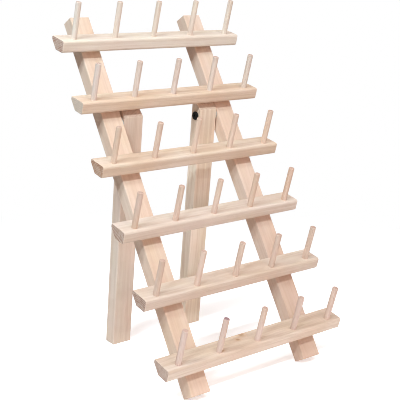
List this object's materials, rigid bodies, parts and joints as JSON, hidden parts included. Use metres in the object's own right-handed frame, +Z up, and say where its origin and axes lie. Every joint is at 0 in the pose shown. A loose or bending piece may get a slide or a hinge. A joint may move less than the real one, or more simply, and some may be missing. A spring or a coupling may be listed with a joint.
{
  "type": "spool holder stand",
  "caption": "Folding wooden easel stand that holds thread spools or cones on slanted dowel pegs, in rows across two leaning legs.",
  "frame": {"origin": "on the floor, at the middle of the stand's overall width and depth, with the rear legs open", "axes": "+Z up, +X along the bars to the right as seen from the pegs' side, +Y to the back, away from the pegs' side"},
  "size_m": [0.4, 0.3733, 0.6282],
  "materials": {
    "bar_wood": "sanded, unfinished",
    "leg_wood": "sanded, unfinished",
    "peg_wood": "turned dowel, unfinished",
    "bolt_black": "black oxide, satin",
    "washer_steel": "zinc plated",
    "insert_brass": "as machined",
    "screw_steel": "zinc plated"
  },
  "bodies": {
    "stand_frame": {"peg_bar_1": "bar_wood", "peg_bar_2": "bar_wood", "peg_bar_3": "bar_wood", "peg_bar_4": "bar_wood", "peg_bar_5": "bar_wood", "peg_bar_6": "bar_wood", "peg_1_1": "peg_wood", "peg_1_2": "peg_wood", "peg_1_3": "peg_wood", "peg_1_4": "peg_wood", "peg_1_5": "peg_wood", "peg_2_1": "peg_wood", "peg_2_2": "peg_wood", "peg_2_3": "peg_wood", "peg_2_4": "peg_wood", "peg_2_5": "peg_wood", "peg_3_1": "peg_wood", "peg_3_2": "peg_wood", "peg_3_3": "peg_wood", "peg_3_4": "peg_wood", "peg_3_5": "peg_wood", "peg_4_1": "peg_wood", "peg_4_2": "peg_wood", "peg_4_3": "peg_wood", "peg_4_4": "peg_wood", "peg_4_5": "peg_wood", "peg_5_1": "peg_wood", "peg_5_2": "peg_wood", "peg_5_3": "peg_wood", "peg_5_4": "peg_wood", "peg_5_5": "peg_wood", "peg_6_1": "peg_wood", "peg_6_2": "peg_wood", "peg_6_3": "peg_wood", "peg_6_4": "peg_wood", "peg_6_5": "peg_wood", "front_leg_left": "leg_wood", "front_leg_right": "leg_wood", "pivot_bolt_left": "bolt_black", "pivot_bolt_right": "bolt_black", "pivot_washer_left": "washer_steel", "pivot_washer_right": "washer_steel", "pivot_insert_left": "insert_brass", "pivot_insert_right": "insert_brass", "bar_screws": "screw_steel"},
    "left_rear_leg": {"rear_leg_left": "leg_wood"},
    "right_rear_leg": {"rear_leg_right": "leg_wood"}
  },
  "joints": [
    {"name": "left_rear_leg_fold", "type": "hinge", "parent": "stand_frame", "child": "left_rear_leg", "pos_m": [-0.0864, 0.07631, 0.41978], "axis": [-1, 0, 0], "range_deg": [0, 35]},
    {"name": "right_rear_leg_fold", "type": "hinge", "parent": "stand_frame", "child": "right_rear_leg", "pos_m": [0.0864, 0.07631, 0.41978], "axis": [-1, 0, 0], "range_deg": [0, 35]}
  ]
}
